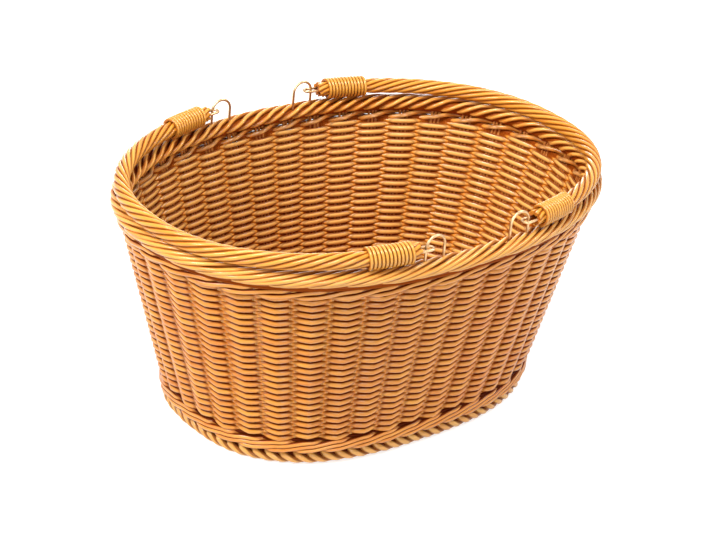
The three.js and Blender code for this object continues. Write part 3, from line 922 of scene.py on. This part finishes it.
def side_weave():
    """The rows in two pieces, one above the other."""
    for name, first, rows in (
        ("side_weave_lower", 0, LOWER_ROWS),
        ("side_weave_upper", LOWER_ROWS, SIDE_ROWS - LOWER_ROWS),
    ):
        grown(
            name, "basket", "side_cane", WOVEN_ROWS, plan_guide(WEAVER_SHARES), ["side_weave"],
            Rows=rows,
            First_Row=first,
            Bottom=SIDE_BOTTOM,
            Row_Pitch=(SIDE_TOP - SIDE_BOTTOM) / SIDE_ROWS,
            Swing_Out=SIDE_SWING_OUT,
            Swing_In=SIDE_SWING_IN,
            Cane_Radius=SIDE_CANE,
            Swell=0.0011,
            Kink=0.985,
            Fold=0.15,
            Unevenness=0.0005,
            Sides=8,
            Seed=11,
        )


def stakes():
    """Three canes side by side in each column, which the rows pass in front of and behind."""
    height = np.linspace(LOWER_WALE_BOTTOM + 0.0005, RIM_BOTTOM + 0.003, 12)
    canes = [
        with_values(columns(aside, STAKE_OUTSET, height), height, STAKE_CANE)
        for aside in (-STAKE_ASIDE, 0.0, STAKE_ASIDE)
    ]
    nodes = [f"stake_{number:02d}" for number in range(1, STAKES + 1)]
    strokes_round(
        "stake_canes", "stake_cane", canes, STAKES, nodes, Unevenness=0.0002, Seed=21,
    )


def weave_packing():
    """Thin canes that stand between the stakes, inside the rows, and keep the light out; their dark
    coat is painted shade in the gaps.
    """
    height = np.linspace(SIDE_BOTTOM - 0.002, SIDE_TOP + 0.001, 5)
    beside = np.append(0.0017, np.linspace(0.0056, PACKING_REACH, 6))
    canes = []
    for aside in np.concatenate([-beside, beside]):
        outset = np.interp(abs(aside), [0.0045, PACKING_REACH], [STAKE_OUTSET, 0.0])
        canes.append(with_values(columns(aside, outset, height), height, PACKING_CANE))
    strokes_round(
        "weave_packing", "stake_cane", canes, STAKES, [], coat=PACKING_SHADE_COAT, Unevenness=0.0,
        Sides=6, Seed=22,
    )


def wale_lines(height, rods, layer, swing):
    """Closed lines of waling: each rod passes inside one stake, comes out as the lowest layer
    and climbs a layer at every stake until it goes in again as the highest."""
    rounds = 1 if STAKES % rods == 0 else rods
    top = layer * (rods - 2) / 2
    places = [0.0, 0.5]
    heights = [0.0, -top - 0.2 * layer]
    for stake in range(1, rods):
        middle = layer * (stake - rods / 2)
        places += [stake - 0.16, stake + 0.16]
        heights += [middle - 0.05 * layer, middle + 0.05 * layer]
    places += [rods - 0.5, rods]
    heights += [top + 0.2 * layer, 0.0]
    crossings = [0, 0.36, 0.72, rods - 0.72, rods - 0.36, rods]
    lines = []
    for number in range(rods if rounds == 1 else 1):
        stake = np.arange(STAKES * rounds * WALE_STEPS) / WALE_STEPS
        place = np.mod(stake - number, rods)
        rise = np.interp(place, places, heights)
        outset = np.interp(place, crossings, [-1, 0, 1, 1, 0, -1])
        for _ in range(2):
            rise = (np.roll(rise, 1) + 2 * rise + np.roll(rise, -1)) / 4
            outset = (np.roll(outset, 1) + 2 * outset + np.roll(outset, -1)) / 4
        points = columns(stake * STAKE_SPACING, swing * outset, height + rise)
        lines.append(with_values(points, height, WALE_CANE, front=outset))
    return lines


def hidden_ring(name, height, level, radius, outset, coat):
    """The bundle of cane ends inside a border, or the cane packed in behind a waling, in a dark
    coat of painted shade.
    """
    length = np.arange(RING_POINTS) / RING_POINTS * RIM_PERIMETER
    line = with_values(columns(length, outset, height), level, radius)
    strokes_round(
        name, "stake_cane", [line], 1, [], closed=True, coat=coat, Lean=0.0, Unevenness=0.0,
        Sides=10, Seed=45,
    )


def walings():
    """One row of three rods under the rim and one of four rods above the foot, with packing."""
    for place, middle, rods, layer, swing, seed in (
        ("upper", UPPER_WALE_MIDDLE, 3, 0.0048, 0.0046, 31),
        ("lower", LOWER_WALE_MIDDLE, 4, 0.0038, 0.0044, 32),
    ):
        strokes_round(
            place + "_waling", "wale_cane", wale_lines(middle, rods, layer, swing), 1,
            [place + "_wale"], closed=True, Unevenness=0.0, Seed=seed,
        )
    for name, height, radius, outset, coat in PACKING_RINGS:
        hidden_ring(name, height, height, radius, outset, coat)


def rim_border():
    """Stake ends in pairs, each laid along the rim from below it outside, over it and inside."""
    half_out = RIM_THICKNESS / 2 - BORDER_CANE
    half_up = RIM_HEIGHT / 2 - BORDER_CANE
    angles = np.radians([-75, -50, -20, 20, 65, 110, 150, 190, 230])
    lengths = np.array([-0.006, 0.0, 0.011, 0.026, 0.044, 0.060, 0.069, 0.076, 0.082])
    pair = []
    for start, apart in ((0.0, 0.0), (0.0042, STAKE_SPACING * 0.5)):
        along = lengths + np.interp(lengths, [-0.006, 0.020], [start, apart])
        body = section(along, angles, half_out, half_up, RIM_MIDDLE)
        root = [[start - 0.016, 0.0005, RIM_BOTTOM - 0.002]]
        tail = [[body[-1, 0] + 0.007, -0.0018, RIM_BOTTOM + 0.0022]]
        line = smooth_line(np.vstack([root, body, tail]), 38)
        pair.append(with_values(line, RIM_MIDDLE, BORDER_CANE, front=1.0, centre=RIM_MIDDLE))
    strokes_round(
        "rim_border_canes", "border_cane", pair, STAKES, ["rim_border"],
        Lean=0.0, Unevenness=0.0004, Seed=41,
    )
    hidden_ring("rim_border_heart", RIM_MIDDLE - 0.0028, RIM_MIDDLE, 0.0056, 0.0, PACKING_SHADE_COAT)


def foot_border():
    """Short strokes that slope down to the right outside, run along below and come up inside."""
    half_out = FOOT_THICKNESS / 2 - FOOT_CANE
    half_up = FOOT_MIDDLE - FOOT_CANE - 0.0003
    angles = np.radians([165, 125, 90, 62, 35, 0, -35, -62, -90, -120, -160, -200])
    lengths = np.array([-9, -4, 0, 2, 4, 9.5, 15, 20, 29, 39, 46, 52]) * 0.001
    line = smooth_line(section(lengths, angles, half_out, half_up, FOOT_MIDDLE), 26)
    stroke = with_values(line, FOOT_MIDDLE, FOOT_CANE, front=1.0, centre=FOOT_MIDDLE)
    strokes_round(
        "foot_border_canes", "border_cane", [stroke], 2 * STAKES, ["foot_border"],
        coat=FOOT_LIT_COAT, Lean=0.0, Unevenness=0.0002, Seed=42,
    )
    hidden_ring("foot_border_heart", FOOT_MIDDLE + 0.0014, FOOT_MIDDLE, 0.0040, 0.0, HEART_SHADE_COAT)


def wall_middle(angle, height):
    """Plan points of the middle of the wall, which leans out from the foot to the rim."""
    share = (height - FOOT_MIDDLE) / WALL_RISE
    return foot_oval(angle) * (1 - share) + rim_oval(angle) * share


def inside_oval(inset):
    """The oval of the wall at the base's height, brought in all round by an inset."""
    _, out = along_and_out(foot_oval, FINE_ANGLES)
    return wall_middle(FINE_ANGLES, BASE_MIDDLE) - out * inset


def base():
    """Rows of cane over and under the short sticks, on two long ones."""
    edge = inside_oval(0.006)
    upper_edge = edge[: len(edge) // 2 + 1][::-1]
    aside = (np.arange(SHORT_STICKS) - (SHORT_STICKS - 1) / 2) * STAKE_SPACING
    short_ends = wall_middle(angle_at(RIM_PERIMETER / 4 - aside), BASE_MIDDLE + STICK_RISE)
    long_ends = wall_middle(angle_at(STAKE_SPACING / 2), BASE_MIDDLE - STICK_RISE)
    rows = int(upper_edge[:, 1].max() / BASE_PITCH)
    lines = []
    fronts = []
    for row in range(-rows, rows + 1):
        y = row * BASE_PITCH
        right = upper_edge[upper_edge[:, 1] >= abs(y)][:, 0].max()
        x = np.linspace(-right, right, max(12, int(right / 0.0013)))
        place = np.interp(
            x, short_ends[:, 0], np.arange(SHORT_STICKS), left=-1, right=SHORT_STICKS
        )
        wave = np.cos(math.pi * (place + row))
        lines.append(columns(x, y, BASE_MIDDLE + 0.0004 + BASE_SWING * wave))
        fronts.append(wave)
    fronts = np.concatenate(fronts)
    radius = BASE_CANE * (1 + 0.25 * fronts ** 2)
    source = line_mesh("base rows", lines, radius=radius, front=fronts, facing=UP)
    grown(
        "base_mat", "basket", "base_cane", SINGLE_CANES, source, ["base_weave"],
        Sides=8, Seed=51,
    )
    short = [columns(x, [-y, 0, y], SHORT_STICK_HEIGHT) for x, y in short_ends]
    long = [
        columns([-x, 0, x], side * y, LONG_STICK_HEIGHT) for x, y in long_ends for side in (-1, 1)
    ]
    source = line_mesh("base sticks", short + long, radius=STICK_CANE, facing=UP)
    grown(
        "base_sticks", "basket", "base_cane", SINGLE_CANES, source, ["base_slath"],
        Sides=12, Seed=52,
    )


def hoops():
    """Wire arches whose legs go down through the rim, two at the front and two at the back."""
    turn = np.linspace(0, math.pi, 25)
    leg = np.linspace(HOOP_LEG_BOTTOM, HINGE_Z, 6)[:-1]
    across = np.concatenate([np.ones(5), np.cos(turn), -np.ones(5)])
    height = np.concatenate([leg, HINGE_Z + HOOP_RADIUS * np.sin(turn), leg[::-1]])
    for place, side, face in (
        ("front_left", -1, -1), ("front_right", 1, -1), ("back_left", -1, 1), ("back_right", 1, 1),
    ):
        line = columns(side * HINGE_X + HOOP_RADIUS * across, face * HINGE_Y, height)
        source = line_mesh("hoop line", [line], radius=HOOP_WIRE, facing=(0.0, 1.0, 0.0))
        grown(
            "wire_hoop_" + place, "basket", "wire", SINGLE_CANES, source, ["hoop_" + place],
            Sides=14, Seed=61,
        )


# Handles

def handle_vectors(side, vectors):
    """Directions or points of the handle turned to the left or right and tilted to rest."""
    turned = vectors * np.array([side, side, 1.0])
    tilt = side * REST_TILT
    x = turned[:, 0] * math.cos(tilt) + turned[:, 2] * math.sin(tilt)
    z = turned[:, 2] * math.cos(tilt) - turned[:, 0] * math.sin(tilt)
    return columns(x, turned[:, 1], z)


def handle_points(side, length, aside=0.0, up=0.0):
    """Points at lengths along a handle from its middle, beside and above its line."""
    length = np.asarray(length, float)
    held = np.clip(length, -HANDLE_HALF, HANDLE_HALF)
    angle = angle_at(held)
    along, out = along_and_out(rim_oval, angle)
    plan = rim_oval(angle) + along * (length - held)[:, None]
    plan = plan + out * np.broadcast_to(aside, len(length))[:, None]
    points = flat(plan - np.array([HINGE_X, 0]), up)
    return handle_vectors(side, points) + np.array([side * HINGE_X, 0, HINGE_Z])


def rope(name, side):
    """Laid strands from end to end of a handle, thinner under the bindings, round a heart whose
    dark coat is painted shade between the strands.
    """
    length = np.concatenate([
        [-HANDLE_HALF, -ROPE_END],
        np.linspace(-BINDING_START, BINDING_START, 151),
        [ROPE_END, HANDLE_HALF],
    ])
    ring = np.interp(
        np.abs(length),
        [BOUND_END - 0.004, BOUND_END, ROPE_END, HANDLE_HALF],
        [ROPE_RING, BOUND_RING, BOUND_RING, BOUND_RING + 0.0004],
    )
    ends = np.zeros(len(length))
    ends[0] = -1
    ends[-1] = 1
    source = line_mesh(
        "rope line",
        [handle_points(side, length)],
        out=handle_vectors(side, flat(along_and_out(rim_oval, angle_at(length))[1])),
        up=handle_vectors(side, UP),
        run=length,
        ring=ring,
        end=ends,
    )
    grown(
        "rope_strands_" + name, "handle_" + name, "rope_cane", LAID_ROPE, source, ["rope_" + name],
        Strands=ROPE_STRANDS,
        Lay=ROPE_LAY,
        Strand_Radius=ROPE_STRAND,
        End_Step=0.0025,
        Sides=10,
        Seed=71,
    )
    inner = np.linspace(-ROPE_END, ROPE_END, 121)
    source = line_mesh(
        "rope heart line",
        [handle_points(side, inner)],
        radius=np.interp(np.abs(inner), [BOUND_END - 0.004, BOUND_END], [HEART, BOUND_HEART]),
        facing=handle_vectors(side, UP),
    )
    grown(
        "rope_heart_" + name, "handle_" + name, "stake_cane", SINGLE_CANES, source, [],
        coat=HEART_SHADE_COAT, Sides=10, Seed=72,
    )


def smoothstep(share):
    return share * share * (3 - 2 * share)


def eye_wire(name, side):
    """Wire through the rope whose ends spread, go round the hoops' legs and turn back."""
    spread_from = HANDLE_HALF - EYE_SPREAD_START
    spread_to = HANDLE_HALF - EYE_SPREAD_END
    middle = np.linspace(0, spread_from, 40)
    share = np.linspace(0, 1, 9)[1:]
    turn = np.linspace(0, math.pi, 17)
    length = np.concatenate([
        middle,
        spread_from + (spread_to - spread_from) * share,
        [HANDLE_HALF],
        EYE_CENTRE + EYE_OFFSET * np.sin(turn),
        [HANDLE_HALF, HANDLE_HALF - EYE_TAIL],
    ])
    aside = np.concatenate([
        np.zeros(len(middle)),
        EYE_OFFSET * smoothstep(share),
        [EYE_OFFSET],
        EYE_OFFSET * np.cos(turn),
        [-EYE_OFFSET, -EYE_OFFSET],
    ])
    length = np.concatenate([-length[:0:-1], length])
    aside = np.concatenate([aside[:0:-1], aside])
    source = line_mesh(
        "eye wire line", [handle_points(side, length, aside)], radius=CORE_WIRE,
        facing=handle_vectors(side, UP),
    )
    grown(
        "eye_wire_" + name, "handle_" + name, "wire", SINGLE_CANES, source, ["core_wire_" + name],
        Sides=12, Seed=81,
    )


def binding(place, name, side, end):
    """A strand wound twelve times round the handle's end, tucked into the rope at both ends."""
    below = -math.pi / 2
    centre = WINDING_RADIUS - BINDING_BEND
    lead = math.asin(BINDING_BEND / centre)

    def at(length, radius, angle):
        radius = np.asarray(radius, float)
        return handle_points(
            side, end * np.broadcast_to(length, radius.shape), radius * np.cos(angle),
            radius * np.sin(angle),
        )

    def tuck(length, hand):
        turn = np.linspace(0, math.pi / 2 + lead, 7)
        inward = BINDING_BEND * np.cos(turn) + centre
        onward = BINDING_BEND * np.sin(turn)
        angle = below + hand * (np.arctan2(onward, inward) - lead)
        seat = centre * math.cos(lead) - 2 * BINDING_CANE
        radius = np.append(np.hypot(inward, onward), seat)
        return at(length, radius, np.append(angle, below))

    share = np.linspace(0, 1, BINDING_TURNS * 20 + 1)
    length = BINDING_START + (BINDING_END - BINDING_START) * share
    angle = below + lead + (ROUND * BINDING_TURNS - 2 * lead) * share
    winding = at(length, np.full(len(share), WINDING_RADIUS), angle)
    line = np.vstack([tuck(BINDING_START, -1)[::-1], winding[1:-1], tuck(BINDING_END, 1)])
    away = winding - at(length, np.zeros(len(share)), 0.0)
    facing = np.vstack([np.tile(away[0], (8, 1)), away[1:-1], np.tile(away[-1], (8, 1))])
    source = line_mesh(
        "binding line", [line], radius=BINDING_CANE + 0.0001,
        facing=facing / np.linalg.norm(facing, axis=1)[:, None],
        front=1.0,
    )
    grown(
        f"binding_strand_{place}_{name}", "handle_" + name, "binding_cane", SINGLE_CANES, source,
        [f"binding_{place}_{name}"], Sides=10, Seed=91,
    )


def handles():
    for name, side in (("left", -1), ("right", 1)):
        rope(name, side)
        eye_wire(name, side)
        for place, face in (("front", -1), ("back", 1)):
            binding(place, name, side, side * face)


# Stage

AMBIENT = 0.12
FLOOR_HALF = 8.0
FLOOR_HEIGHT = -0.0003
LIT_POINT = Vector((0, 0, 0.1))


def seen_directly(tree):
    """1 where the eye, or a reflection, looks at the stage, and 0 where it lights the basket."""
    rays = add_node(tree, "ShaderNodeLightPath").outputs
    seen = plus(tree, rays["Is Camera Ray"], rays["Is Glossy Ray"])
    return maths(tree, "ADD", seen, rays["Is Transmission Ray"], clamp=True)


def floor():
    """A plain white floor that shows white to the eye and still takes the basket's shadow."""
    material, tree, output = new_material("studio floor")
    paint = add_node(tree, "ShaderNodeBsdfPrincipled", {
        "Base Color": colour(208, 208, 208),
        "Roughness": 0.9,
    })
    place = object_place(tree)
    away = add_node(tree, "ShaderNodeVectorMath", {0: place}, operation="LENGTH").outputs["Value"]
    level = spread(tree, away, 0.6, 1.5, 0.74, 1.0)
    strength = times(tree, seen_directly(tree), level)
    glow = add_node(tree, "ShaderNodeEmission", {"Color": (1, 1, 1, 1), "Strength": strength})
    both = add_node(tree, "ShaderNodeAddShader", {0: paint.outputs[0], 1: glow.outputs[0]})
    tree.links.new(both.outputs[0], output.inputs["Surface"])
    mesh = bpy.data.meshes.new("floor")
    corners = [
        (x * FLOOR_HALF, y * FLOOR_HALF, FLOOR_HEIGHT)
        for x, y in ((-1, -1), (1, -1), (1, 1), (-1, 1))
    ]
    mesh.from_pydata(corners, [], [(0, 1, 2, 3)])
    mesh.materials.append(material)
    placed("floor", mesh)


def backdrop():
    """A white world to the eye, and a weak even light on the basket."""
    world = bpy.data.worlds.new("studio")
    bpy.context.scene.world = world
    world.use_nodes = True
    tree = world.node_tree
    tree.nodes.clear()
    strength = times_plus(tree, seen_directly(tree), 1.0 - AMBIENT, AMBIENT)
    light = add_node(tree, "ShaderNodeBackground", {"Color": (1, 1, 1, 1), "Strength": strength})
    output = tree.nodes.new("ShaderNodeOutputWorld")
    tree.links.new(light.outputs[0], output.inputs["Surface"])


def soft_light(name, place, size, power):
    lamp = bpy.data.lights.new(name, "AREA")
    lamp.shape = "DISK"
    lamp.size = size
    lamp.energy = power
    light = placed(name, lamp)
    light.location = place
    light.rotation_euler = (LIT_POINT - Vector(place)).to_track_quat("-Z", "Y").to_euler()


def lights():
    soft_light("key", (-1.85, 0.25, 1.75), size=0.7, power=50)
    soft_light("fill", (-0.7, -2.2, 0.75), size=0.8, power=14)
    soft_light("top", (-0.6, -0.4, 2.2), size=0.8, power=41)
    soft_light("glint", (1.35, -0.9, 1.75), size=0.5, power=18)
    soft_light("back", (1.5, 1.9, 0.4), size=1.0, power=14)


def camera():
    """The photograph's view: from the left of the front, above, leaning a little."""
    azimuth = math.radians(-40.06)
    elevation = math.radians(27.33)
    roll = math.radians(-5.26)
    distance = 1.9476
    aside = 0.00283
    aim = Vector((0, 0, 0.11024))
    back = Vector((
        math.sin(azimuth) * math.cos(elevation),
        -math.cos(azimuth) * math.cos(elevation),
        math.sin(elevation),
    ))
    right = Vector((math.cos(azimuth), math.sin(azimuth), 0))
    up = back.cross(right)
    leaning_right = right * math.cos(roll) - up * math.sin(roll)
    leaning_up = right * math.sin(roll) + up * math.cos(roll)
    data = bpy.data.cameras.new("camera")
    data.sensor_width = 36
    data.lens = 112.73
    data.clip_start = 0.05
    data.clip_end = 50
    eye = placed("camera", data)
    place = back * distance + right * aside + aim
    turn = Matrix((leaning_right, leaning_up, back)).transposed().to_4x4()
    eye.matrix_world = Matrix.Translation(place) @ turn
    bpy.context.scene.camera = eye


bpy.context.scene.view_settings.view_transform = "Standard"
camera()
floor()
backdrop()
lights()
side_weave()
stakes()
weave_packing()
walings()
rim_border()
foot_border()
base()
hoops()
handles()
